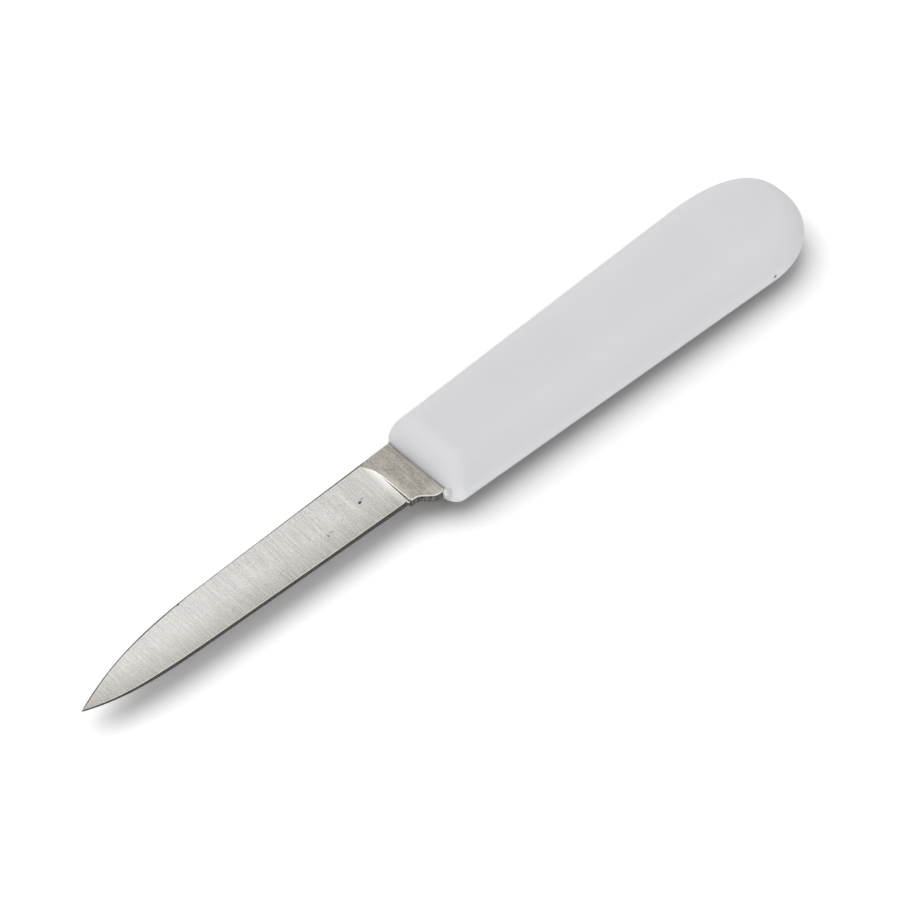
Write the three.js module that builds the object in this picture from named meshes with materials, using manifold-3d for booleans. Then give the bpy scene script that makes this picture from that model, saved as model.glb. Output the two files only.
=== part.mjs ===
// Paring knife lying on its side: a stamped, ground steel blade in a moulded white handle.
// Millimetres. +X runs from the tip to the butt, +Y from the cutting edge to the spine, +Z is up.
// Sizes along X are counted from the handle's front, heights across Y from the handle's centre line.

import * as THREE from 'three';
import { mergeVertices } from 'three/addons/utils/BufferGeometryUtils.js';
import Module from 'manifold-3d';

const wasm = await Module();
wasm.setup();

// Blade, from the handle's front to the tip
const bladeLength = 82.5;
const bladeThickness = 2.0;
const spineRise = 7.92; // spine above the centre line at the handle
const spineTaper = 0.0175; // fall of the straight spine for each mm towards the tip
const spineDropLength = 36.5; // length of the curve that ends the spine
const spineDropPower = 2.7; // how late that curve falls
const edgeFall = 5.15; // cutting edge below the centre line, carried on to the handle
const edgeTaper = 0.03; // rise of the straight edge for each mm towards the tip
const bellyLength = 34.5; // length of the curve that ends the edge
const bellyPower = 4; // how late that curve rises
const tipRise = 0.8; // tip above the centre line
const tipWidth = 0.25; // blunt end of the tip

// Grind: flat faces from the spine, then a narrow sharpened bevel
const shoulderThickness = 0.44; // steel left where the bevel starts
const bevelWidth = 0.54;
const edgeLand = 0.1; // flat left on the very edge
const plungeRadius = 1.6; // fillet that the grinding wheel leaves

// Ricasso: the flat, unground steel between the plunge and the handle
const ricassoLength = 6.5;
const heelDepth = 0.17; // heel corner below the ground edge
const ricassoFall = 7.5; // lower edge below the centre line at the handle
const ricassoCurveStart = 5.65; // distances in front of the handle where the lower edge
const ricassoCurveEnd = 1.55; // starts and stops curving down

// Tang, hidden in the handle
const tangRootLength = 5; // full-width steel inside the handle's mouth
const tangShoulder = 3; // length of the curve down to the tang's width
const tangLength = 64;
const tangHalfWidth = 5.5;
const lockHoleRadius = 2.75;
const lockHoleDistances = [22, 46];
const tangClearance = 0.3;

// Handle
const handleLength = 99.3;
const handleThickness = 12.7;
const frontHalfWidth = 10.35;
const buttHalfWidth = 12.8; // of the straight sides, carried on to the end
const buttLengthSpine = 23; // length of the round end on the spine side
const buttLengthEdge = 14.7; // and on the cutting edge's side
const buttPowerSpine = 2.6; // fullness of the round end, 2 for an ellipse
const buttPowerEdge = 2.15;
const noseRadiusSpine = 4; // rounding of the front's rim on the spine side
const noseRadiusEdge = 2.7; // on the cutting edge's side
const noseRadiusFlat = 5.5; // and above and below the blade

// Facets
const curveSteps = 14;
const sideSteps = 10;
const filletSteps = 5;
const buttSteps = 12;
const buttRimShare = 0.95; // how near the rings of the round end come to its top

const halfThickness = bladeThickness / 2;
const tipX = -bladeLength;
const grindDepth = halfThickness - shoulderThickness / 2;
const plungeRun = Math.sqrt(2 * plungeRadius * grindDepth - grindDepth ** 2);
const grindEndX = -ricassoLength - plungeRun; // the fillet starts to rise here
const spineDropX = tipX + spineDropLength;
const bellyX = tipX + bellyLength;
const sideRadius = handleThickness / 2;
const cutMargin = 1; // how far a cutter reaches past what it cuts

const steelMaterial = new THREE.MeshStandardMaterial({ color: 0xcfcdc9, roughness: 0.35, metalness: 1 });
const plasticMaterial = new THREE.MeshStandardMaterial({ color: 0xd7d7d9, roughness: 0.45, metalness: 0 });

// Height of the spine: a straight run, then a curve down to the tip
function spineY(x) {
  const straight = spineRise + spineTaper * x;
  const drop = spineRise + spineTaper * tipX - tipRise - tipWidth;
  const along = Math.max(0, spineDropX - x) / spineDropLength;
  return straight - drop * along ** spineDropPower;
}

// Height of the cutting edge: a straight run, then a curve up to the tip
function edgeY(x) {
  const straight = -edgeFall - edgeTaper * x;
  const lift = tipRise + edgeFall + edgeTaper * tipX;
  const along = Math.max(0, bellyX - x) / bellyLength;
  return straight + lift * along ** bellyPower;
}

function steps(from, to, count) {
  return Array.from({ length: count + 1 }, (_, i) => from + ((to - from) * i) / count);
}

function toSolid(geometry) {
  geometry.deleteAttribute('normal');
  geometry.deleteAttribute('uv');
  const merged = mergeVertices(geometry);
  const vertProperties = new Float32Array(merged.attributes.position.array);
  const triVerts = new Uint32Array(merged.index.array);
  return new wasm.Manifold(new wasm.Mesh({ numProp: 3, vertProperties, triVerts }));
}

function toMesh(name, solid, material) {
  const { vertProperties, triVerts } = solid.getMesh();
  const geometry = new THREE.BufferGeometry();
  geometry.setAttribute('position', new THREE.BufferAttribute(vertProperties, 3));
  geometry.setIndex(new THREE.BufferAttribute(triVerts, 1));
  geometry.computeVertexNormals();
  const mesh = new THREE.Mesh(geometry, material);
  mesh.name = name;
  return mesh;
}

// A plate of the given outline, centred on the blade's middle plane
function plate(shape, thickness) {
  const options = { depth: thickness, bevelEnabled: false, curveSegments: curveSteps };
  return toSolid(new THREE.ExtrudeGeometry(shape, options).translate(0, 0, -thickness / 2));
}

// A skin through rings of points that run along +X, each ring turning from +Y towards +Z
function loft(rings, firstPoint, lastPoint) {
  const size = rings[0].length;
  const points = [...rings.flat(), firstPoint, lastPoint];
  const first = points.length - 2;
  const last = points.length - 1;
  const lastRing = (rings.length - 1) * size;
  const index = [];
  for (let i = 0; i < size; i += 1) {
    const next = (i + 1) % size;
    index.push(first, next, i);
    index.push(last, lastRing + i, lastRing + next);
    for (let ring = 0; ring < lastRing; ring += size) {
      index.push(ring + i, ring + next, ring + size + next);
      index.push(ring + i, ring + size + next, ring + size + i);
    }
  }
  const geometry = new THREE.BufferGeometry().setFromPoints(points);
  geometry.setIndex(index);
  return toSolid(geometry);
}

// Lower outline of the steel from the heel to the handle
function drawHeel(shape) {
  const heelX = -ricassoLength;
  const heelY = edgeY(heelX) - heelDepth;
  const middleX = -(ricassoCurveStart + ricassoCurveEnd) / 2;
  shape.lineTo(heelX - heelDepth, edgeY(heelX - heelDepth));
  shape.lineTo(heelX, heelY);
  shape.lineTo(-ricassoCurveStart, heelY);
  shape.bezierCurveTo(middleX, heelY, middleX, -ricassoFall, -ricassoCurveEnd, -ricassoFall);
}

// The tang's outline, grown by a clearance: in at the lower side, round the end, out at the upper side
function drawTang(shape, clearance) {
  const rootX = tangRootLength + clearance;
  const neckX = rootX + tangShoulder;
  const sideY = tangHalfWidth + clearance;
  const endX = tangLength - tangHalfWidth;
  const middleX = (rootX + neckX) / 2;
  const rootTop = spineRise + clearance;
  const rootBottom = -ricassoFall - clearance;
  shape.lineTo(rootX, rootBottom);
  shape.bezierCurveTo(middleX, rootBottom, middleX, -sideY, neckX, -sideY);
  shape.absarc(endX, 0, sideY, -Math.PI / 2, Math.PI / 2, false);
  shape.lineTo(neckX, sideY);
  shape.bezierCurveTo(middleX, sideY, middleX, rootTop, rootX, rootTop);
}

function addLockHoles(shape, radius) {
  for (const distance of lockHoleDistances) {
    const hole = new THREE.Path();
    hole.absarc(distance, 0, radius, 0, Math.PI * 2, true);
    shape.holes.push(hole);
  }
}

// The blank as it is stamped: blade, ricasso and tang in one sheet
function blankShape() {
  const shape = new THREE.Shape();
  shape.moveTo(tipX, tipRise);
  for (const x of steps(tipX, bellyX, curveSteps).slice(1)) {
    shape.lineTo(x, edgeY(x));
  }
  drawHeel(shape);
  drawTang(shape, 0);
  shape.lineTo(0, spineRise);
  for (const x of steps(spineDropX, tipX, curveSteps)) {
    shape.lineTo(x, spineY(x));
  }
  addLockHoles(shape, lockHoleRadius);
  return shape;
}

// What the grinding takes off one face: side is 1 for the upper face, -1 for the lower one
function grindCutter(side) {
  const heelWidth = spineY(grindEndX) - edgeY(grindEndX) - bevelWidth;
  const grindSlope = grindDepth / heelWidth;
  const bevelSlope = (shoulderThickness - edgeLand) / 2 / bevelWidth;
  const outside = halfThickness + plungeRadius + cutMargin;
  const ringAt = (x, rise) => {
    const alongX = Math.max(x, tipX);
    const shoulderY = edgeY(alongX) + bevelWidth;
    const highY = spineY(alongX) + cutMargin;
    const lowY = edgeY(alongX) - heelDepth - cutMargin;
    const shoulderZ = shoulderThickness / 2 + rise;
    const section = [
      [highY, shoulderZ + grindSlope * (highY - shoulderY)],
      [highY, outside],
      [lowY, outside],
      [lowY, shoulderZ - bevelSlope * (shoulderY - lowY)],
      [shoulderY, shoulderZ],
    ];
    const ring = section.map(([y, z]) => new THREE.Vector3(x, y, side * z));
    return side > 0 ? ring : ring.reverse();
  };
  const curved = steps(tipX, bellyX, curveSteps);
  const plunge = steps(0, Math.PI / 2, filletSteps).map((angle) =>
    ringAt(grindEndX + plungeRadius * Math.sin(angle), plungeRadius * (1 - Math.cos(angle))),
  );
  const rings = [ringAt(tipX - cutMargin, 0), ...curved.map((x) => ringAt(x, 0)), ...plunge];
  const middle = (x) => new THREE.Vector3(x, 0, side * (outside - cutMargin / 2));
  return loft(rings, middle(tipX - cutMargin), middle(grindEndX + plungeRadius));
}

function makeBlade() {
  const ground = plate(blankShape(), bladeThickness)
    .subtract(grindCutter(1))
    .subtract(grindCutter(-1));
  return toMesh('blade', ground, steelMaterial);
}

// The rounded rim of the front, fullest above and below the blade
function noseRing(roundAngle) {
  const pointAt = (angle, centre) => {
    const noseRadiusSide = centre > 0 ? noseRadiusSpine : noseRadiusEdge;
    const noseRadius = noseRadiusFlat + (noseRadiusSide - noseRadiusFlat) * Math.cos(angle) ** 2;
    const x = noseRadius * (1 - Math.cos(roundAngle));
    const radius = sideRadius - noseRadius * (1 - Math.sin(roundAngle));
    return new THREE.Vector3(x, centre + radius * Math.cos(angle), radius * Math.sin(angle));
  };
  const centre = frontHalfWidth - sideRadius;
  const spineSide = steps(-Math.PI / 2, Math.PI / 2, sideSteps).map((angle) => pointAt(angle, centre));
  const edgeSide = steps(Math.PI / 2, Math.PI * 1.5, sideSteps).map((angle) => pointAt(angle, -centre));
  return [...spineSide, ...edgeSide];
}

// Half the handle's width on one side, drawn in by an inset: a straight run, then the round end
function halfWidth(x, inset, buttLength, buttPower) {
  const straight = frontHalfWidth + ((buttHalfWidth - frontHalfWidth) * x) / handleLength - inset;
  const along = Math.max(0, x - handleLength + buttLength) / (buttLength - inset);
  return straight * (1 - along ** buttPower) ** (1 / buttPower);
}

// A ring of the round end, with the same rounded rim all the way round
function buttRing(x) {
  const deepestInset = Math.min(sideRadius, buttRimShare * (handleLength - x));
  const rimAngle = Math.acos(1 - deepestInset / sideRadius);
  const sidePoints = (side, buttLength, buttPower) =>
    steps(-rimAngle, rimAngle, sideSteps).map((angle) => {
      const inset = sideRadius * (1 - Math.cos(angle));
      const y = side * halfWidth(x, inset, buttLength, buttPower);
      return new THREE.Vector3(x, y, sideRadius * Math.sin(angle));
    });
  const spineSide = sidePoints(1, buttLengthSpine, buttPowerSpine);
  const edgeSide = sidePoints(-1, buttLengthEdge, buttPowerEdge);
  return [...spineSide, ...edgeSide.reverse()];
}

// The space for the tang, with the lock posts left standing in it
function tangSlot() {
  const shape = new THREE.Shape();
  shape.moveTo(-cutMargin, spineRise + tangClearance);
  shape.lineTo(-cutMargin, -ricassoFall - tangClearance);
  drawTang(shape, tangClearance);
  addLockHoles(shape, lockHoleRadius - tangClearance);
  return plate(shape, bladeThickness + 2 * tangClearance);
}

function makeHandle() {
  const noseRings = steps(0, Math.PI / 2, filletSteps).map(noseRing);
  const buttLength = Math.max(buttLengthSpine, buttLengthEdge);
  const buttAngles = steps(0, Math.PI / 2, buttSteps).slice(0, -1);
  const buttRings = buttAngles.map((angle) => buttRing(handleLength - buttLength * (1 - Math.sin(angle))));
  const front = new THREE.Vector3(0, 0, 0);
  const butt = new THREE.Vector3(handleLength, 0, 0);
  const moulding = loft([...noseRings, ...buttRings], front, butt);
  return toMesh('handle', moulding.subtract(tangSlot()), plasticMaterial);
}

// The origin lies under the middle of the knife, on the surface that the handle rests on
const knife = new THREE.Group();
knife.add(makeBlade(), makeHandle());
const box = new THREE.Box3().setFromObject(knife);
const centre = box.getCenter(new THREE.Vector3());
knife.position.set(-centre.x, -centre.y, -box.min.z);

export default knife;
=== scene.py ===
import math
import bmesh
import bpy
from mathutils import Matrix, Vector


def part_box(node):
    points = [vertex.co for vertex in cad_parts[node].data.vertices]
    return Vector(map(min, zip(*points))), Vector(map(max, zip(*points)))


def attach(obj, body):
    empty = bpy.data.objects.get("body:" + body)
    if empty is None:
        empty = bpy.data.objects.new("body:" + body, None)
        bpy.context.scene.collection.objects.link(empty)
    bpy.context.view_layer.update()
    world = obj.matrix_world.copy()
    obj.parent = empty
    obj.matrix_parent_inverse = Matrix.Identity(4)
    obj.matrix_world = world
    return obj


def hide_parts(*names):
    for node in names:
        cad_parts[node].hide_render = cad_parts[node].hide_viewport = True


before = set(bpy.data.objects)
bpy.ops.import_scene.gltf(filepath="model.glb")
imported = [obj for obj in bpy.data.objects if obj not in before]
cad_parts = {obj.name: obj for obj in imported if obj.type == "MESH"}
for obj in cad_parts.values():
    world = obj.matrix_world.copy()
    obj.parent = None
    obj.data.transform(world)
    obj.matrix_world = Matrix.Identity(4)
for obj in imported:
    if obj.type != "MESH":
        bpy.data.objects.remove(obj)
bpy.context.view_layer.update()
handleLow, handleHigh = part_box("handle")
bladeLow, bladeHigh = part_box("blade")
print("frame loaded:", ", ".join(sorted(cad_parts)))


# Shared modelling helpers

mergeDistance = 1e-7  # points closer than this are one
touchDistance = 1e-6  # and within this they touch


def clamp(value, low=0.0, high=1.0):
    return max(low, min(high, value))


def blend(a, b, share):
    return a + (b - a) * share


def ease(share):
    share = clamp(share)
    return share * share * (3 - 2 * share)


def addSheet(bm, columns, rows, place):
    # a grid whose points are moved to place(column, row)
    made = bmesh.ops.create_grid(bm, x_segments=columns, y_segments=rows, size=0.5)
    for vert in made["verts"]:
        column = round((vert.co.x + 0.5) * columns)
        row = round((vert.co.y + 0.5) * rows)
        vert.co = place(column, row)


def addRod(bm, centre, radius, length, segments):
    place = Matrix.Translation(centre)
    bmesh.ops.create_cone(
        bm, cap_ends=True, segments=segments, radius1=radius, radius2=radius, depth=length, matrix=place
    )


def closeMesh(bm):
    bmesh.ops.remove_doubles(bm, verts=bm.verts, dist=mergeDistance)
    bmesh.ops.dissolve_degenerate(bm, edges=bm.edges, dist=mergeDistance)
    bmesh.ops.recalc_face_normals(bm, faces=bm.faces)


def shadeSmooth(bm, sharpDegrees):
    limit = math.radians(sharpDegrees)
    for face in bm.faces:
        face.smooth = True
    for edge in bm.edges:
        edge.smooth = edge.calc_face_angle(0.0) < limit


def newPiece(name, bm, materials):
    mesh = bpy.data.meshes.new(name)
    bm.to_mesh(mesh)
    bm.free()
    for material in materials:
        mesh.materials.append(material)
    piece = bpy.data.objects.new(name, mesh)
    bpy.context.scene.collection.objects.link(piece)
    return piece


def carve(piece, cutter):
    # takes the cutter's shape out of the piece, then throws the cutter away
    cut = piece.modifiers.new("carve", "BOOLEAN")
    cut.operation = "DIFFERENCE"
    cut.solver = "EXACT"
    cut.object = cutter
    depsgraph = bpy.context.evaluated_depsgraph_get()
    carved = bpy.data.meshes.new_from_object(piece.evaluated_get(depsgraph))
    piece.modifiers.clear()
    piece.data = carved
    bpy.data.objects.remove(cutter)


# Shared material helpers

def newMaterial(name):
    material = bpy.data.materials.new(name)
    material.use_nodes = True
    tree = material.node_tree
    return material, tree, tree.nodes["Principled BSDF"]


def addNode(tree, kind, settings=None, values=None):
    node = tree.nodes.new(kind)
    for label, value in (settings or {}).items():
        setattr(node, label, value)
    for socket, value in (values or {}).items():
        node.inputs[socket].default_value = value
    return node


def newGroup(name, inputs, outputs):
    group = bpy.data.node_groups.new(name, "ShaderNodeTree")
    for label, kind, value in inputs:
        socket = group.interface.new_socket(label, in_out="INPUT", socket_type=kind)
        socket.default_value = value
    for label, kind in outputs:
        group.interface.new_socket(label, in_out="OUTPUT", socket_type=kind)
    return group, group.nodes.new("NodeGroupInput"), group.nodes.new("NodeGroupOutput")


def placeGroup(tree, group, values):
    return addNode(tree, "ShaderNodeGroup", {"node_tree": group}, values)


def mixColours(tree, mask, first, second):
    # first and second are colours or sockets that carry them, and go to the node's colour sockets
    mix = addNode(tree, "ShaderNodeMix", {"data_type": "RGBA"})
    tree.links.new(mask, mix.inputs[0])
    for socket, value in ((mix.inputs[6], first), (mix.inputs[7], second)):
        if isinstance(value, bpy.types.NodeSocket):
            tree.links.new(value, socket)
        else:
            socket.default_value = (*value, 1)
    return mix.outputs[2]


def mathNode(tree, operation, first, second):
    node = addNode(tree, "ShaderNodeMath", {"operation": operation})
    for socket, value in zip(node.inputs, (first, second)):
        if isinstance(value, bpy.types.NodeSocket):
            tree.links.new(value, socket)
        else:
            socket.default_value = value
    return node.outputs[0]


def mapValue(tree, value, fromLow, fromHigh, toLow, toHigh, curve="LINEAR"):
    node = addNode(tree, "ShaderNodeMapRange", {"interpolation_type": curve})
    tree.links.new(value, node.inputs[0])
    for index, number in enumerate((fromLow, fromHigh, toLow, toHigh), start=1):
        node.inputs[index].default_value = number
    return node.outputs[0]


def makeStreaks():
    # noise drawn out along one axis, as a grinding belt leaves it
    group, start, end = newGroup(
        "streaks",
        [
            ("Vector", "NodeSocketVector", (0, 0, 0)),
            ("Scale", "NodeSocketVector", (1, 1, 1)),
            ("Detail", "NodeSocketFloat", 2.0),
        ],
        [("Streaks", "NodeSocketFloat")],
    )
    mapping = addNode(group, "ShaderNodeMapping")
    noise = addNode(group, "ShaderNodeTexNoise", None, {"Scale": 1.0, "Roughness": 0.6})
    group.links.new(start.outputs["Vector"], mapping.inputs["Vector"])
    group.links.new(start.outputs["Scale"], mapping.inputs["Scale"])
    group.links.new(start.outputs["Detail"], noise.inputs["Detail"])
    group.links.new(mapping.outputs["Vector"], noise.inputs["Vector"])
    group.links.new(noise.outputs["Fac"], end.inputs["Streaks"])
    return group


spotCore = 0.35  # share of a spot that doesn't fade


def makeSpot():
    # 1 inside an oval spot, fading to 0 at its rim
    group, start, end = newGroup(
        "spot",
        [
            ("Vector", "NodeSocketVector", (0, 0, 0)),
            ("Centre", "NodeSocketVector", (0, 0, 0)),
            ("Turn", "NodeSocketVector", (0, 0, 0)),
            ("Size", "NodeSocketVector", (1, 1, 1)),
        ],
        [("Mask", "NodeSocketFloat")],
    )
    mapping = addNode(group, "ShaderNodeMapping", {"vector_type": "TEXTURE"})
    length = addNode(group, "ShaderNodeVectorMath", {"operation": "LENGTH"})
    group.links.new(start.outputs["Vector"], mapping.inputs["Vector"])
    group.links.new(start.outputs["Centre"], mapping.inputs["Location"])
    group.links.new(start.outputs["Turn"], mapping.inputs["Rotation"])
    group.links.new(start.outputs["Size"], mapping.inputs["Scale"])
    group.links.new(mapping.outputs["Vector"], length.inputs[0])
    mask = mapValue(group, length.outputs["Value"], spotCore, 1.0, 1.0, 0.0, "SMOOTHSTEP")
    group.links.new(mask, end.inputs["Mask"])
    return group


streaks = makeStreaks()
spot = makeSpot()
markHeight = 0.0007  # of a mark on the steel's upper face
markDepth = 0.0009


def newMark(at, size, colour, turn=0, strength=1.0):
    # a small oval fault: its place, half sizes, colour and turn in degrees
    return {"at": at, "size": size, "colour": colour, "turn": turn, "strength": strength}


def steelMark(at, size, colour, turn=0, strength=1.0):
    # one in the steel's upper face, with its place and half sizes along and across the blade
    return newMark((*at, markHeight), (*size, markDepth), colour, turn, strength)


def addMarks(tree, place, colour, marks):
    for mark in marks:
        centre = knifePlace + Vector(mark["at"])
        turn = (0, 0, math.radians(mark["turn"]))
        oval = placeGroup(tree, spot, {"Centre": centre, "Turn": turn, "Size": mark["size"]})
        tree.links.new(place, oval.inputs["Vector"])
        mask = mathNode(tree, "MULTIPLY", oval.outputs[0], mark["strength"])
        colour = mixColours(tree, mask, colour, mark["colour"])
    return colour


# Steel finishes: dark and light colour of the grain, the roughness of each, and the grain itself

grains = {  # scale, detail and share of the streaks that make up a surface
    "belt": [((5600, 180, 180), 0.0, 0.32), ((7500, 6000, 6000), 0.0, 0.63), ((160, 120, 120), 1.0, 0.05)],
    "rolled": [((3600, 2600, 2600), 3.0, 0.6), ((1500, 500, 500), 2.0, 0.4)],
    "honed": [((5200, 900, 900), 2.0, 1.0)],
    "torn": [((3500, 3500, 1200), 4.0, 1.0)],
    "rubbed": [((3000, 3000, 3000), 2.0, 1.0)],
}
steel = {
    "ground": {
        "colours": ((0.468, 0.457, 0.436), (0.746, 0.731, 0.706)),
        "edgeColours": ((0.33, 0.317, 0.295), (0.526, 0.505, 0.473)),  # painted shade: darker towards the cutting edge
        "edgeReach": 0.0058,
        "rough": (0.42, 0.32),
        "grain": "belt",
        "contrast": 0.15,
        "bump": 0.00001,
    },
    "mill": {  # the flat, as it was rolled
        "colours": ((0.302, 0.284, 0.25), (0.473, 0.445, 0.4)),
        "rough": (0.5, 0.38),
        "grain": "rolled",
        "contrast": 0.11,
        "bump": 0.00001,
    },
    # painted shade: the sharpened bevel is coloured dark for the dark surroundings it mirrors
    "sharp": {
        "colours": ((0.054, 0.05, 0.045), (0.104, 0.097, 0.089)),
        "rough": (0.45, 0.33),
        "grain": "honed",
        "contrast": 0.2,
        "bump": 0.00001,
    },
    "blanked": {  # the spine
        "colours": ((0.07, 0.062, 0.056), (0.2, 0.18, 0.16)),
        "rough": (0.7, 0.45),
        "grain": "torn",
        "contrast": 0.2,
        "bump": 0.00005,
    },
    # a real burr, coloured lighter as a painted highlight line
    "burrGlint": {
        "colours": ((0.7, 0.69, 0.67), (0.86, 0.85, 0.83)),
        "rough": (0.4, 0.3),
        "grain": "rubbed",
        "contrast": 0.2,
        "bump": 0.00001,
    },
    "stamped": {  # the flat's lower side
        "colours": ((0.07, 0.064, 0.059), (0.3, 0.276, 0.255)),
        "rough": (0.7, 0.45),
        "grain": "torn",
        "contrast": 0.13,
        "bump": 0.00005,
    },
    "ledge": {  # steep wall where the grinding wheel stopped
        "colours": ((0.1, 0.092, 0.085), (0.38, 0.35, 0.325)),
        "edgeColours": ((0.16, 0.147, 0.136), (0.6, 0.555, 0.515)),
        "edgeReach": 0.0045,
        "rough": (0.7, 0.45),
        "grain": "torn",
        "contrast": 0.13,
        "bump": 0.00005,
    },
    "wheel": {  # round corner that it left in front of the wall
        "colours": ((0.57, 0.558, 0.535), (0.645, 0.631, 0.607)),
        # painted shade: darker towards the cutting edge, as on the ground face
        "edgeColours": ((0.4, 0.385, 0.36), (0.456, 0.437, 0.408)),
        "edgeReach": 0.0058,
        "rough": (0.33, 0.29),
        "grain": "belt",
        "contrast": 0.15,
        "bump": 0.00001,
    },
}
steelBounce = (0.35, 0.35, 0.35)  # colour that the floor sees
steelBumpStrength = 0.3
steelMarks = {
    "ground": [
        steelMark((-0.057, 0.004), (0.022, 0.009), (0.86, 0.85, 0.83), strength=0.12),  # bright patch
        steelMark((-0.0122, 0.003), (0.0035, 0.008), (0.3, 0.28, 0.26), strength=0.14),  # darker patch
        steelMark((-0.01351, 0.00138), (0.0006, 0.00038), (0.03, 0.03, 0.03), turn=14),  # pit
        steelMark((-0.01268, 0.00175), (0.00048, 0.00024), (0.3, 0.3, 0.3), turn=-12),
        steelMark((-0.02205, -0.00005), (0.0009, 0.00017), (0.3, 0.3, 0.3), turn=-8),  # scratch
        steelMark((-0.02305, -0.00035), (0.0003, 0.0005), (0.17, 0.17, 0.17), turn=20),  # and its end
        steelMark((-0.05428, 0.00666), (0.00034, 0.00032), (0.015, 0.015, 0.015)),  # foot of the spine's nick
    ],
    "mill": [
        steelMark((-0.0007, 0.0), (0.00019, 0.0095), (0.62, 0.6, 0.55), turn=-1, strength=0.5),  # mould line
        # painted light: a lighter strip along the joint, against the dark reflection of the handle's shaded
        # front
        steelMark((-0.0001, 0.0), (0.0008, 0.012), (0.62, 0.6, 0.55), turn=-1, strength=0.35),
        steelMark((-0.001, -0.0062), (0.0024, 0.0028), (0.6, 0.57, 0.52), strength=0.55),  # lighter patch at the lower corner by the joint
        steelMark((-0.0062, -0.0003), (0.0014, 0.0075), (0.62, 0.6, 0.55), strength=0.5),  # behind the wall
        steelMark((-0.00018, -0.0056), (0.00028, 0.0026), (0.8, 0.77, 0.66), turn=-1, strength=0.4),
        steelMark((-0.00028, -0.0071), (0.0003, 0.0003), (0.95, 0.92, 0.78)),  # fleck at the joint
    ],
    "blanked": [
        steelMark((-0.05432, 0.0066), (0.0004, 0.0005), (0.015, 0.015, 0.015)),  # nick in the spine
    ],
}


def steelFinish(name):
    look = steel[name]
    material, tree, shader = newMaterial(name + "Steel")
    place = addNode(tree, "ShaderNodeTexCoord").outputs["Object"]
    height = None
    for scale, detail, share in grains[look["grain"]]:
        layer = placeGroup(tree, streaks, {"Scale": scale, "Detail": detail})
        tree.links.new(place, layer.inputs["Vector"])
        part = mathNode(tree, "MULTIPLY", layer.outputs[0], share)
        height = part if height is None else mathNode(tree, "ADD", height, part)
    grain = mapValue(tree, height, 0.5 - look["contrast"], 0.5 + look["contrast"], 0.0, 1.0)
    colour = mixColours(tree, grain, *look["colours"])
    # colour changes towards the cutting edge: painted shade, darker there, on the ground face and the wheel's
    # corner; lighter there on the ledge
    if "edgeColours" in look:
        fromEdge = addNode(tree, "ShaderNodeAttribute", {"attribute_name": "fromEdge"}).outputs["Fac"]
        away = mapValue(tree, fromEdge, 0, look["edgeReach"], 0, 1)
        colour = mixColours(tree, away, mixColours(tree, grain, *look["edgeColours"]), colour)
    colour = addMarks(tree, place, colour, steelMarks.get(name, []))
    rays = addNode(tree, "ShaderNodeLightPath")
    colour = mixColours(tree, rays.outputs["Is Diffuse Ray"], colour, steelBounce)
    tree.links.new(colour, shader.inputs["Base Color"])
    tree.links.new(mapValue(tree, grain, 0, 1, *look["rough"]), shader.inputs["Roughness"])
    shader.inputs["Metallic"].default_value = 1.0
    bump = addNode(tree, "ShaderNodeBump", None, {"Strength": steelBumpStrength, "Distance": look["bump"]})
    tree.links.new(grain, bump.inputs["Height"])
    tree.links.new(bump.outputs[0], shader.inputs["Normal"])
    return material


# Blade: distances along it are counted from the handle's front, heights from the handle's centre line

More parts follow.
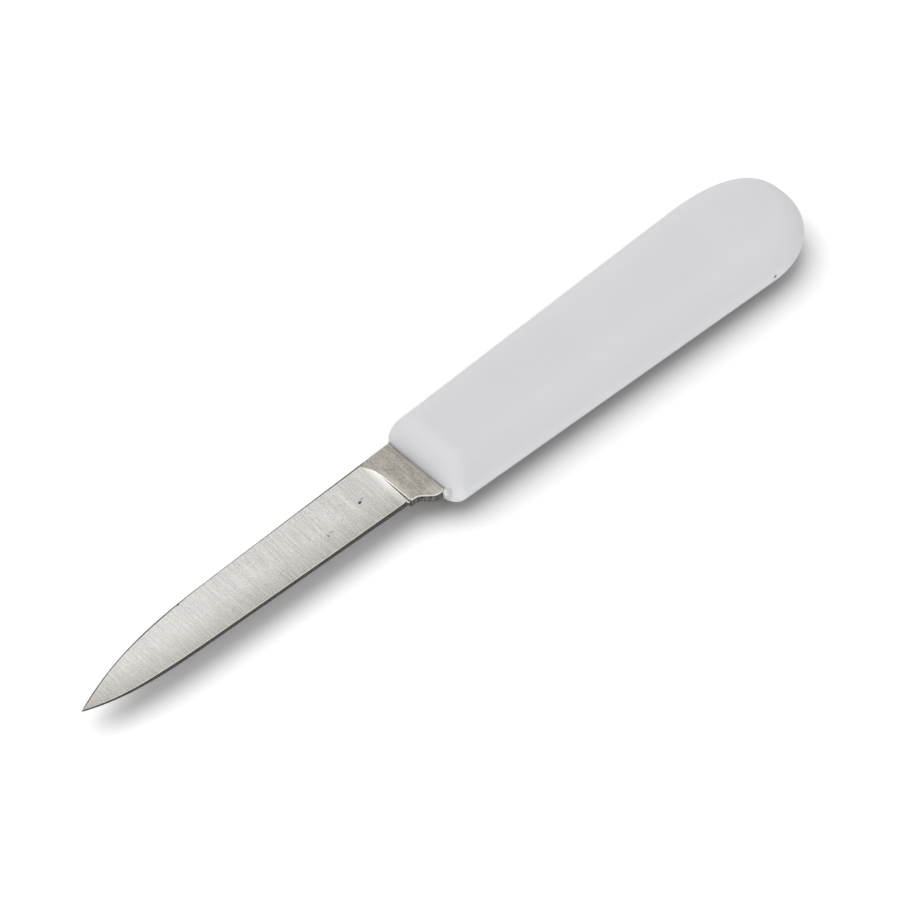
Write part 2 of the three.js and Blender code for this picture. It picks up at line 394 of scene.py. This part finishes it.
blade = {
    "spineRise": 0.00792,
    "spineTaper": 0.0175,  # fall of the straight spine towards the tip
    "spineDropLength": 0.0365,  # the curve that ends the spine
    "spineDropPower": 2.7,
    "edgeFall": 0.00515,
    "edgeTaper": 0.0287,
    "bellyLength": 0.0345,  # the curve that ends the cutting edge
    "bellyPower": 4,
    "tipRise": 0.0008,
    "tipWidth": 0.00012,
    "shoulderThickness": 0.00044,  # steel left where the sharpened bevel starts
    "bevelWidth": 0.00054,
    "bevelHeel": 0.0007,  # its width at the heel
    "bevelFlare": 0.03,  # how far from the handle it starts to widen
    "bevelTip": 0.00018,  # its width at the tip
    "bevelTipLength": 0.016,
    "bevelShare": 0.4,  # its largest share of the blade's width
    "bevelSwell": 0.4,  # share that it gains along the plunge
    "edgeLand": 0.0001,
    "burrGlint": 0.0001,  # real burr, coloured lighter: a painted highlight line over the bevel
    "burrShare": 0.02,  # its largest share of the width
    "heelBurr": 0.00018,  # and under the flat
    "spineTrim": 0.00033,  # dark stamped corner of the spine at the plunge
    "spineTrimMiddle": 0.000165,
    "spineTrimTip": 0.00029,
    "spineTrimSwell": 0.00012,  # where the belt took less off it
    "swellAt": -0.06,
    "swellReach": 0.013,
    "spineTrimFlat": 0.00013,
    "spineTrimDrop": 0.00006,
    "trimDropShare": 0.3,  # its largest share of the half thickness
    "trimShare": 0.16,  # its largest share of the width, at the tip
    "plungeStart": 0.00778,  # in front of the handle
    "plungeRun": 0.00126,  # length of the grinding wheel's round corner
    "plungeTilt": 5.6,  # degrees where it starts
    "plungeTiltEnd": 12.0,
    "plungeTiltEdge": 9.0,  # and where it ends near the cutting edge
    "plungeTurn": (0.3, 0.9),  # shares of the width between which the two blend
    "plungeCrease": 0.0002,
    "sharpenedShare": 0.72,  # how far along the plunge the sharpening reaches
    "wallLean": 0.2,  # how far the plunge's wall leans back for its height
    "lipDrop": 0.00005,  # rolled top of the plunge's wall
    "lipWidth": 0.00016,
    "lipShare": 0.4,  # its largest share of the wall
    "heelDepth": 0.00017,  # heel corner below the cutting edge
    "heelCurveStart": 0.00535,  # in front of the handle, as is its end
    "heelCurveEnd": 0.00138,
    "heelFall": 0.0075,  # lower edge of the steel at the handle
    "rootLength": 0.005,  # full width steel inside the handle
    "tangShoulder": 0.003,
    "tangLength": 0.064,
    "tangHalfWidth": 0.0055,
    "lockHoleRadius": 0.00275,
    "lockHoles": (0.022, 0.046),
    "creaseAngle": 11,  # degrees, past which the shading breaks
}
bladeCuts = {  # columns along the blade, rows across it and steps round the tang
    "tip": 26,
    "tipShare": 0.5,  # of the spine's curve, where columns crowd
    "tipCrowding": 1.5,
    "ground": 44,
    "plunge": 9,
    "flat": 34,
    "across": 19,
    "rowCrowding": 1.7,
    "shoulder": 6,
    "tangEnd": 8,
    "tangEndAngle": 80,  # degrees of its round end
    "lockHole": 48,
}
chordSlack = 1e-5  # a straight face may stand off the curved edge by this

halfSteel = (bladeHigh.z - bladeLow.z) / 2
tipX = bladeLow.x - handleLow.x
plungeX = -blade["plungeStart"]
wallX = plungeX + blade["plungeRun"]
sharpenedX = blend(plungeX, wallX, blade["sharpenedShare"])
lockRodLength = 4 * halfSteel  # goes well past both faces
knifePlace = Vector((handleLow.x, bladeHigh.y - blade["spineRise"], (handleLow.z + handleHigh.z) / 2))


def spineAt(x):
    straight = blade["spineRise"] + blade["spineTaper"] * min(x, 0)
    drop = blade["spineRise"] + blade["spineTaper"] * tipX - blade["tipRise"] - blade["tipWidth"]
    along = max(0, tipX + blade["spineDropLength"] - x) / blade["spineDropLength"]
    return straight - drop * along ** blade["spineDropPower"]


def edgeAt(x):
    straight = -blade["edgeFall"] - blade["edgeTaper"] * x
    lift = blade["tipRise"] + blade["edgeFall"] + blade["edgeTaper"] * tipX
    along = max(0, tipX + blade["bellyLength"] - x) / blade["bellyLength"]
    return straight + lift * along ** blade["bellyPower"]


def lowerAt(x):
    # the cutting edge, then the heel's curve down to the handle
    heelY = edgeAt(wallX) - blade["heelDepth"]
    if x < wallX:
        return edgeAt(x) - blade["heelDepth"] * ease((x - sharpenedX) / (wallX - sharpenedX))
    along = (x + blade["heelCurveStart"]) / (blade["heelCurveStart"] - blade["heelCurveEnd"])
    return blend(heelY, -blade["heelFall"], ease(along))


def bevelAt(x):
    # width of the sharpened strip
    flare = clamp((x + blade["bevelFlare"]) / (blade["bevelFlare"] - blade["plungeStart"]))
    width = blend(blade["bevelWidth"], blade["bevelHeel"], flare)
    width = blend(blade["bevelTip"], width, clamp((x - tipX) / blade["bevelTipLength"]))
    return min(width, blade["bevelShare"] * (spineAt(x) - edgeAt(x)))


def trimAt(x):
    # width of the spine's dark corner
    along = 2 * clamp((x - tipX) / (plungeX - tipX)) - 1
    end = blade["spineTrim"] if along > 0 else blade["spineTrimTip"]
    width = blend(blade["spineTrimMiddle"], end, along ** 2)
    width += blade["spineTrimSwell"] * ease(1 - abs(x - blade["swellAt"]) / blade["swellReach"])
    width = blend(width, blade["spineTrimFlat"], ease((x - plungeX) / blade["plungeRun"]))
    return min(width, blade["trimShare"] * (spineAt(x) - lowerAt(x)))


grindDepth = halfSteel - blade["shoulderThickness"] / 2
grindSlope = grindDepth / (spineAt(plungeX) - edgeAt(plungeX) - blade["bevelWidth"] - blade["spineTrim"])


def groundHeight(x, y):
    return blade["shoulderThickness"] / 2 + grindSlope * (y - edgeAt(x) - blade["bevelWidth"])


def rowHeight(x, row, lowerBand):
    # y of a row of points: 0 is the lower edge, 1 the top of its bevel, 2 its burr with the painted highlight
    # line, the last two the spine
    last = bladeCuts["across"]
    low, high = lowerAt(x), spineAt(x)
    if row == 0:
        return low
    if row == 1:
        return low + lowerBand
    if row == last:
        return high
    share = (row - 2) / (last - 3)
    burrGlint = min(blade["burrGlint"], blade["burrShare"] * (high - low))
    return blend(low + lowerBand + burrGlint, high - trimAt(x), 1 - (1 - share) ** bladeCuts["rowCrowding"])


def groundPoint(x, row):
    y = rowHeight(x, row, bevelAt(x))
    z = groundHeight(x, y)
    if row == 0 or x < tipX + touchDistance:
        z = blade["edgeLand"] / 2
    elif row == bladeCuts["across"]:
        z -= min(blade["spineTrimDrop"], blade["trimDropShare"] * z)
    return Vector((x, y, z))


def plungeReach(row):
    # first slope, bend and length of the wheel's mark on a row, and the wall that is left above it
    y = rowHeight(wallX, row, blade["heelBurr"])
    depth = max(0.0, halfSteel - groundHeight(plungeX, y))
    height = (y - edgeAt(plungeX)) / (spineAt(plungeX) - edgeAt(plungeX))
    low, high = blade["plungeTurn"]
    endTilt = blend(blade["plungeTiltEdge"], blade["plungeTiltEnd"], ease((height - low) / (high - low)))
    slope = math.tan(math.radians(blade["plungeTilt"]))
    bend = (math.tan(math.radians(endTilt)) - slope) / (2 * blade["plungeRun"])
    reach = (math.sqrt(slope ** 2 + 4 * bend * depth) - slope) / (2 * bend)
    reach = min(blade["plungeRun"], reach)
    wall = depth - slope * reach - bend * reach ** 2
    return slope, bend, reach, max(0.0, wall)


def plungePoint(share, row):
    slope, bend, reach, _ = plungeReach(row)
    along = reach * share
    x = plungeX + along
    sharpened = share <= blade["sharpenedShare"]
    bevel = bevelAt(x) * (1 + blade["bevelSwell"] * share ** 2)
    band = bevel if sharpened else blade["heelBurr"]
    y = rowHeight(x, row, band)
    z = min(groundHeight(plungeX, y) + slope * along + bend * along ** 2, halfSteel)
    if row == 0:
        z = blade["edgeLand"] / 2 if sharpened else z - blade["heelBurr"]
    elif row == bladeCuts["across"]:
        z = halfSteel - blade["spineTrimDrop"]
    return Vector((x, y, z))


def wallPoint(row, top):
    # the steep wall where the wheel stopped, and the rolled lip on it
    _, _, reach, wall = plungeReach(row)
    drop = min(blade["lipDrop"], blade["lipShare"] * wall)
    x = plungeX + reach + blade["wallLean"] * wall
    if top:
        return flatPoint(x + blade["lipWidth"] * drop / blade["lipDrop"], row)
    point = flatPoint(x, row)
    point.z -= drop
    return point


def flatPoint(x, row):
    y = rowHeight(x, row, blade["heelBurr"])
    z = halfSteel
    if row == 0:
        z -= blade["heelBurr"]
    elif row == bladeCuts["across"]:
        z -= blade["spineTrimDrop"]
    return Vector((x, y, z))


def ricassoPoint(share, row):
    return flatPoint(blend(wallPoint(row, True).x, blade["rootLength"], share), row)


def plungeKind(share):
    if share == 1:
        return "wall"
    return "round" if share < blade["sharpenedShare"] else "heel"


def bladeColumns():
    # how each column of points is placed, from the tip to the root
    bellyX = tipX + blade["spineDropLength"] * bladeCuts["tipShare"]
    columns = []
    for i in range(bladeCuts["tip"]):
        x = blend(tipX, bellyX, (i / bladeCuts["tip"]) ** bladeCuts["tipCrowding"])
        columns.append(("ground", lambda row, x=x: groundPoint(x, row)))
    for i in range(bladeCuts["ground"]):
        x = blend(bellyX, plungeX, i / bladeCuts["ground"])
        columns.append(("ground", lambda row, x=x: groundPoint(x, row)))
    columns.append(("ground", lambda row: groundPoint(plungeX - blade["plungeCrease"], row)))
    for i in range(bladeCuts["plunge"] + 1):
        share = i / bladeCuts["plunge"]
        columns.append((plungeKind(share), lambda row, share=share: plungePoint(share, row)))
    columns.append(("lip", lambda row: wallPoint(row, False)))
    columns.append(("flat", lambda row: wallPoint(row, True)))
    for i in range(1, bladeCuts["flat"] + 1):
        share = i / bladeCuts["flat"]
        columns.append(("flat", lambda row, share=share: ricassoPoint(share, row)))
    return columns


def tangStations(grow):
    # (x, middle, half width) of the tang from its root to its round end
    rootX = blade["rootLength"] + grow
    neckX = rootX + blade["tangShoulder"]
    half = blade["tangHalfWidth"] + grow
    rootMiddle = (blade["spineRise"] - blade["heelFall"]) / 2
    rootHalf = (blade["spineRise"] + blade["heelFall"]) / 2 + grow
    endX = blade["tangLength"] + grow - half
    stations = []
    for i in range(bladeCuts["shoulder"] + 1):
        share = i / bladeCuts["shoulder"]
        curve = ease(share)
        x = blend(rootX, neckX, share)
        stations.append((x, blend(rootMiddle, 0, curve), blend(rootHalf, half, curve)))
    for i in range(bladeCuts["tangEnd"]):
        angle = math.radians(bladeCuts["tangEndAngle"]) * i / (bladeCuts["tangEnd"] - 1)
        stations.append((endX + half * math.sin(angle), 0, half * math.cos(angle)))
    return stations


def pushTang(bm, faces, stations):
    # draws an end face out through the stations
    for x, middle, half in stations:
        ys = [vert.co.y for face in faces for vert in face.verts]
        oldMiddle, oldHalf = (max(ys) + min(ys)) / 2, (max(ys) - min(ys)) / 2
        grown = bmesh.ops.extrude_face_region(bm, geom=faces)["geom"]
        bmesh.ops.delete(bm, geom=faces, context="FACES")
        for item in grown:
            if isinstance(item, bmesh.types.BMVert):
                item.co.x = x
                item.co.y = middle + (item.co.y - oldMiddle) * half / oldHalf
        faces = [item for item in grown if isinstance(item, bmesh.types.BMFace)]


finishSlot = {name: slot for slot, name in enumerate(steel)}
columnFinish = {
    "ground": "ground",
    "round": "wheel",
    "heel": "wheel",
    "wall": "ledge",
    "lip": "ground",
    "flat": "mill",
}


def faceFinish(kind, row):
    # of a face on the broad sides, by its column's kind and its row
    sharpened = kind in ("ground", "round")
    if row == bladeCuts["across"] - 1:
        return "blanked"
    if row == 0 and sharpened:
        return "sharp"
    if row == 0:
        return "burrGlint" if kind == "flat" else "blanked"
    if row == 1 and sharpened:
        return "burrGlint"
    return columnFinish[kind]


def rimFinish(middle):
    # of a narrow face between the broad sides
    if middle.x < sharpenedX and middle.y < edgeAt(middle.x) + chordSlack:
        return "sharp"
    return "blanked" if middle.y > 0 else "stamped"


def makeBlade():
    bm = bmesh.new()
    columns = bladeColumns()
    lastColumn, lastRow = len(columns) - 1, bladeCuts["across"]
    finish = bm.faces.layers.int.new("finish")
    bmesh.ops.create_grid(bm, x_segments=lastColumn, y_segments=lastRow, size=0.5)
    for face in bm.faces:
        middle = face.calc_center_median()
        column = int((middle.x + 0.5) * lastColumn)
        row = int((middle.y + 0.5) * lastRow)
        face[finish] = finishSlot[faceFinish(columns[column][0], row)]
    for vert in bm.verts:
        column = round((vert.co.x + 0.5) * lastColumn)
        row = round((vert.co.y + 0.5) * lastRow)
        vert.co = columns[column][1](row)
    rim = [edge for edge in bm.edges if edge.is_boundary]
    upper = list(bm.faces)
    under = bmesh.ops.duplicate(bm, geom=upper + list(bm.edges) + list(bm.verts))["geom"]
    underVerts = [item for item in under if isinstance(item, bmesh.types.BMVert)]
    bmesh.ops.scale(bm, verts=underVerts, vec=(1, 1, -1))
    sides = bmesh.ops.extrude_edge_only(bm, edges=rim)["geom"]
    for item in sides:
        if isinstance(item, bmesh.types.BMVert):
            item.co.z = -item.co.z
    for item in sides:
        if isinstance(item, bmesh.types.BMFace):
            item[finish] = finishSlot[rimFinish(item.calc_center_median())]
    closeMesh(bm)
    rootX = blade["rootLength"] - touchDistance
    root = [face for face in bm.faces if face.calc_center_median().x > rootX]
    pushTang(bm, root, tangStations(0))
    closeMesh(bm)
    for face in bm.faces:
        face.material_index = face[finish]
    shadeSmooth(bm, blade["creaseAngle"])
    bmesh.ops.translate(bm, verts=bm.verts, vec=knifePlace)
    piece = newPiece("steelBlade", bm, [steelFinish(name) for name in steel])
    holes = bmesh.new()
    for distance in blade["lockHoles"]:
        centre = knifePlace + Vector((distance, 0, 0))
        addRod(holes, centre, blade["lockHoleRadius"], lockRodLength, bladeCuts["lockHole"])
    carve(piece, newPiece("lockHoles", holes, []))
    fromEdge = piece.data.attributes.new("fromEdge", "FLOAT", "POINT")
    for vert, distance in zip(piece.data.vertices, fromEdge.data):
        offset = vert.co - knifePlace
        distance.value = offset.y - edgeAt(offset.x)
    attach(piece, "root")
    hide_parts("blade")
    return piece


# Handle: one white moulding with full round sides

handle = {
    "frontHalfWidth": 0.01035,
    "buttHalfWidth": 0.01279,  # of the straight sides, carried on to the end
    "buttLengthSpine": 0.023,
    "buttLengthEdge": 0.0147,
    "buttPowerSpine": 2.6,  # fullness of the round end, 2 for an ellipse
    "buttPowerEdge": 2.15,
    "noseRadiusSpine": 0.004,
    "noseRadiusEdge": 0.0027,
    "noseRadiusTop": 0.0055,  # above the blade
    "noseRadiusUnder": 0.006,
    "shutOff": 0.0006,  # flat left round the steel by the mould
    "frontLean": 0.0145,  # the front runs back towards the cutting edge
    "frontShift": 0.00015,
    "flash": 0.0007,  # bead of plastic squeezed out at the steel's lower corner
    "flashWidth": 0.00076,
    "flashHeight": 0.0011,
    "flashRound": 0.5,  # share of it that slopes
    "flashDrop": 0.00045,  # its middle, below the steel
    "flashLevel": 0.0005,  # and above the steel's middle
    "mouthGap": 0.00003,  # hairline between plastic and steel
    "mouthReach": 0.002,  # how far in front of the handle its slot is cut from
    "creaseAngle": 50,  # degrees, past which the shading breaks
}
plastic = {
    "colours": ((0.695, 0.697, 0.713), (0.715, 0.717, 0.733)),
    "bounceColour": (0.02, 0.02, 0.02),  # colour that the floor sees, so that the shadow beside it stays deep
    "cloudScale": 45.0,
    "skinScale": 5000.0,
    "noiseDetail": 2.0,
    "noiseSpan": (0.3, 0.7),  # the part of the noise that is used
    "rough": (0.42, 0.52),
    "refraction": 1.49,
    "scatterDepth": 0.0025,
    "bumpStrength": 0.05,
    "bumpDepth": 0.00002,
}
handleMarks = [
    newMark((0.0003, -0.0085, 0.00095), (0.0009, 0.0008, 0.0015), (0.57, 0.57, 0.58)),  # painted shade in the hollow behind the bead
    newMark((0.0691, 0.01002, 0.00466), (0.0003, 0.0003, 0.0003), (0.5, 0.49, 0.48)),  # specks
    newMark((0.071, 0.008, 0.0059), (0.00018, 0.00018, 0.00018), (0.55, 0.55, 0.55)),
    newMark((0.0736, 0.0089, 0.0055), (0.00028, 0.00028, 0.00028), (0.54, 0.53, 0.52)),
    newMark((0.0778, 0.0082, 0.0059), (0.00028, 0.00028, 0.00028), (0.54, 0.53, 0.52)),
    newMark((0.0839, -0.01239, -0.0004), (0.0005, 0.0005, 0.00065), (0.09, 0.08, 0.07)),
]
handleCuts = {"rim": 40, "flat": 8, "nose": 24, "side": 24, "butt": 36}

handleLength = handleHigh.x - handleLow.x
sideRadius = (handleHigh.z - handleLow.z) / 2


def whitePlastic():
    material, tree, shader = newMaterial("whitePlastic")
    place = addNode(tree, "ShaderNodeTexCoord").outputs["Object"]
    detail = plastic["noiseDetail"]
    tone = addNode(tree, "ShaderNodeTexNoise", None, {"Scale": plastic["cloudScale"], "Detail": detail})
    skin = addNode(tree, "ShaderNodeTexNoise", None, {"Scale": plastic["skinScale"], "Detail": detail})
    for node in (tone, skin):
        tree.links.new(place, node.inputs["Vector"])
    cloud = mapValue(tree, tone.outputs["Fac"], *plastic["noiseSpan"], 0, 1)
    colour = addMarks(tree, place, mixColours(tree, cloud, *plastic["colours"]), handleMarks)
    rays = addNode(tree, "ShaderNodeLightPath")
    colour = mixColours(tree, rays.outputs["Is Diffuse Ray"], colour, plastic["bounceColour"])
    tree.links.new(colour, shader.inputs["Base Color"])
    rough = mapValue(tree, skin.outputs["Fac"], *plastic["noiseSpan"], *plastic["rough"])
    tree.links.new(rough, shader.inputs["Roughness"])
    shader.inputs["IOR"].default_value = plastic["refraction"]
    shader.inputs["Subsurface Weight"].default_value = 1.0
    shader.inputs["Subsurface Radius"].default_value = (1, 1, 1)
    shader.inputs["Subsurface Scale"].default_value = plastic["scatterDepth"]
    bumpValues = {"Strength": plastic["bumpStrength"], "Distance": plastic["bumpDepth"]}
    bump = addNode(tree, "ShaderNodeBump", None, bumpValues)
    tree.links.new(skin.outputs["Fac"], bump.inputs["Height"])
    tree.links.new(bump.outputs[0], shader.inputs["Normal"])
    return material


def noseRadiusAt(angle):
    # angle 0 points to the spine, half a turn to the cutting edge
    side = handle["noseRadiusSpine"] if math.cos(angle) > 0 else handle["noseRadiusEdge"]
    flat = handle["noseRadiusTop"] if math.sin(angle) > 0 else handle["noseRadiusUnder"]
    return blend(flat, side, math.cos(angle) ** 2)


def nosePoint(angle, middle, roundAngle):
    noseRadius = noseRadiusAt(angle)
    radius = sideRadius - noseRadius * (1 - math.sin(roundAngle))
    y = middle + radius * math.cos(angle)
    z = radius * math.sin(angle)
    beyondSide = max(y - blade["spineRise"], -blade["heelFall"] - y, 0)
    beyondFace = max(abs(z) - halfSteel, 0)
    recess = ease(math.hypot(beyondSide, beyondFace) / handle["shutOff"])
    x = noseRadius * (1 - math.cos(roundAngle)) * recess
    lean = handle["frontLean"] * (blade["spineRise"] - y) - handle["frontShift"]
    x += lean * math.cos(roundAngle)
    across = (y + blade["heelFall"] + handle["flashDrop"]) / handle["flashWidth"]
    away = (z - handle["flashLevel"]) / handle["flashHeight"]
    x -= handle["flash"] * ease((1 - math.hypot(across, away)) / handle["flashRound"])
    return Vector((x, y, z))


def noseColumn(column, row):
    # round the section: spine side, top flat, edge side, bottom flat
    rim, flat = handleCuts["rim"], handleCuts["flat"]
    roundAngle = math.pi / 2 * row / handleCuts["nose"]
    middle = handle["frontHalfWidth"] - sideRadius
    column %= 2 * (rim + flat)
    side = 1 if column < rim + flat else -1
    step = column % (rim + flat)
    turn = 0 if side > 0 else math.pi
    if step <= rim:
        return nosePoint(turn + math.pi * (step / rim - 0.5), side * middle, roundAngle)
    share = (step - rim) / flat
    return nosePoint(turn + math.pi / 2, side * blend(middle, -middle, share), roundAngle)


def straightSide(x, inset):
    slope = (handle["buttHalfWidth"] - handle["frontHalfWidth"]) / handleLength
    return handle["frontHalfWidth"] + slope * x - inset


def rimColumn(column, row):
    # the half round rim along the spine side, round the butt and back along the edge side
    side, butt = handleCuts["side"], handleCuts["butt"]
    half = side + butt
    spineSide = column <= half
    step = column if spineSide else 2 * half - column
    length = handle["buttLengthSpine"] if spineSide else handle["buttLengthEdge"]
    power = handle["buttPowerSpine"] if spineSide else handle["buttPowerEdge"]
    sign = 1 if spineSide else -1
    angle = math.pi * (row / handleCuts["rim"] - 0.5)
    inset = sideRadius * (1 - math.cos(angle))
    z = sideRadius * math.sin(angle)
    buttX = handleLength - length
    if step <= side:
        share = step / side
        x = blend(noseRadiusAt(angle if spineSide else math.pi - angle), buttX, share)
        y = blend(handle["frontHalfWidth"] - inset, straightSide(buttX, inset), share)
    else:
        turn = math.pi / 2 * (step - side) / butt
        x = buttX + (length - inset) * math.sin(turn) ** (2 / power)
        y = straightSide(x, inset) * max(0.0, math.cos(turn)) ** (2 / power)
    return Vector((x, sign * y, z))


def makePocket():
    # the tang's space in the moulding, with the two lock posts left standing
    gap = handle["mouthGap"]
    bm = bmesh.new()
    top, bottom = blade["spineRise"] + gap, -blade["heelFall"] - gap
    corners = [(top, -1), (top, 1), (bottom, 1), (bottom, -1)]
    verts = [bm.verts.new((-handle["mouthReach"], y, side * (halfSteel + gap))) for y, side in corners]
    mouth = bm.faces.new(verts)
    mouth.copy()  # stays behind as the front
    pushTang(bm, [mouth], tangStations(gap))
    closeMesh(bm)
    bmesh.ops.translate(bm, verts=bm.verts, vec=knifePlace)
    pocket = newPiece("pocket", bm, [])
    posts = bmesh.new()
    for distance in blade["lockHoles"]:
        centre = knifePlace + Vector((distance, 0, 0))
        addRod(posts, centre, blade["lockHoleRadius"] - gap, lockRodLength, bladeCuts["lockHole"])
    carve(pocket, newPiece("posts", posts, []))
    return pocket


def makeHandle():
    bm = bmesh.new()
    around = 2 * (handleCuts["rim"] + handleCuts["flat"])
    along = 2 * (handleCuts["side"] + handleCuts["butt"])
    addSheet(bm, around, handleCuts["nose"], noseColumn)
    addSheet(bm, along, handleCuts["rim"], rimColumn)
    bmesh.ops.remove_doubles(bm, verts=bm.verts, dist=mergeDistance)
    bmesh.ops.holes_fill(bm, edges=[edge for edge in bm.edges if edge.is_boundary], sides=0)
    closeMesh(bm)
    bmesh.ops.translate(bm, verts=bm.verts, vec=knifePlace)
    piece = newPiece("handleMoulding", bm, [whitePlastic()])
    carve(piece, makePocket())
    bm = bmesh.new()
    bm.from_mesh(piece.data)
    shadeSmooth(bm, handle["creaseAngle"])
    bm.to_mesh(piece.data)
    bm.free()
    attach(piece, "root")
    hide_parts("handle")
    return piece


steelBlade = makeBlade()
print("blade made:", len(steelBlade.data.polygons), "faces")
handleMoulding = makeHandle()
print("handle made:", len(handleMoulding.data.polygons), "faces")


# Studio: white floor, soft light all round and a soft key from behind the spine

studio = {
    "floorSize": 6.0,
    "floorGap": 0.00002,  # under the handle
    "floorWhite": 1.24,  # for the camera
    "floorBounce": 0.9,
    "skyLevel": 0.499,
    "skyMirror": 1.0,  # what the steel sees of it
    "glow": 2.2,  # brighter patch of it round the key light
    "glowSpread": 22.0,
}
lights = {  # azimuth and elevation in degrees, and whether the floor is lit too
    "keyLight": {"level": 0.43, "azimuth": -35.0, "elevation": 72.0, "spread": 56.0, "floor": True},
    "fillLight": {"level": 0.52, "azimuth": -152.0, "elevation": -15.0, "spread": 110.0, "floor": False},
}


def makeFloor():
    bm = bmesh.new()
    bmesh.ops.create_grid(bm, x_segments=1, y_segments=1, size=studio["floorSize"] / 2)
    bmesh.ops.translate(bm, verts=bm.verts, vec=(0, 0, handleLow.z - studio["floorGap"]))
    material, tree, shader = newMaterial("floorPaper")
    tree.nodes.remove(shader)
    rays = addNode(tree, "ShaderNodeLightPath")
    seen = rays.outputs["Is Camera Ray"]
    white, bounce = studio["floorWhite"], studio["floorBounce"]
    colour = mixColours(tree, seen, (bounce,) * 3, (white,) * 3)
    paper = addNode(tree, "ShaderNodeBsdfDiffuse")
    tree.links.new(colour, paper.inputs["Color"])
    tree.links.new(paper.outputs[0], tree.nodes["Material Output"].inputs["Surface"])
    floor = newPiece("floor", bm, [material])


def aimFrom(azimuth, elevation):
    # azimuth is counted from the spine side towards the butt
    turn, rise = math.radians(azimuth), math.radians(elevation)
    return Vector((math.sin(turn) * math.cos(rise), math.cos(turn) * math.cos(rise), math.sin(rise)))


def makeSky():
    world = bpy.data.worlds.new("studioSky")
    bpy.context.scene.world = world
    world.use_nodes = True
    tree = world.node_tree
    rays = addNode(tree, "ShaderNodeLightPath")
    key = lights["keyLight"]
    towards = addNode(tree, "ShaderNodeVectorMath", {"operation": "DOT_PRODUCT"})
    tree.links.new(addNode(tree, "ShaderNodeTexCoord").outputs["Generated"], towards.inputs[0])
    towards.inputs[1].default_value = aimFrom(key["azimuth"], key["elevation"])
    rim = math.cos(math.radians(studio["glowSpread"]))
    plain = studio["skyMirror"]
    mirror = mapValue(tree, towards.outputs["Value"], rim, 1.0, plain, plain + studio["glow"])
    seen = mathNode(tree, "MAXIMUM", rays.outputs["Is Camera Ray"], rays.outputs["Is Transmission Ray"])
    level = mapValue(tree, seen, 0, 1, studio["skyLevel"], 1.0)
    gloss = addNode(tree, "ShaderNodeMix", {"data_type": "FLOAT"})
    tree.links.new(rays.outputs["Is Glossy Ray"], gloss.inputs[0])
    tree.links.new(level, gloss.inputs[2])
    tree.links.new(mirror, gloss.inputs[3])
    sky = tree.nodes["Background"]
    sky.inputs["Color"].default_value = (1, 1, 1, 1)
    tree.links.new(gloss.outputs[0], sky.inputs["Strength"])


def addSun(name, values, knife):
    # level is what a white surface square to it shows
    lamp = bpy.data.lights.new(name, "SUN")
    lamp.energy = values["level"] * math.pi
    lamp.angle = math.radians(values["spread"])
    sun = bpy.data.objects.new(name, lamp)
    sun.rotation_mode = "QUATERNION"
    sun.rotation_quaternion = aimFrom(values["azimuth"], values["elevation"]).to_track_quat("Z", "Y")
    sun.visible_glossy = False
    bpy.context.scene.collection.objects.link(sun)
    if not values["floor"]:
        sun.light_linking.receiver_collection = knife
        sun.light_linking.blocker_collection = knife


def makeLights():
    knife = bpy.data.collections.new("knifeOnly")
    for piece in (steelBlade, handleMoulding):
        knife.objects.link(piece)
    for name, values in lights.items():
        addSun(name, values, knife)


makeFloor()
makeSky()
makeLights()
print("studio lit")

# Camera, as the photograph was taken: nearly a metre away, on the cutting edge's side
camera = {
    "aim": (-0.0003, -0.00026, 0.00576),
    "azimuth": -43.216,
    "elevation": 51.5,
    "distance": 0.910,
    "pixelsPerMetre": 5272.0,
    "picture": 900,
    "nearest": 0.01,
}


def makeCamera():
    data = bpy.data.cameras.new("photoCamera")
    data.lens = data.sensor_width * camera["pixelsPerMetre"] * camera["distance"] / camera["picture"]
    data.clip_start = camera["nearest"]
    turn, rise = math.radians(camera["azimuth"]), math.radians(camera["elevation"])
    back = Vector((math.sin(turn) * math.cos(rise), -math.cos(turn) * math.cos(rise), math.sin(rise)))
    eye = bpy.data.objects.new("photoCamera", data)
    eye.location = Vector(camera["aim"]) + back * camera["distance"]
    eye.rotation_mode = "QUATERNION"
    eye.rotation_quaternion = back.to_track_quat("Z", "Y")
    bpy.context.scene.collection.objects.link(eye)
    bpy.context.scene.camera = eye


makeCamera()
bpy.context.scene.view_settings.view_transform = "Standard"
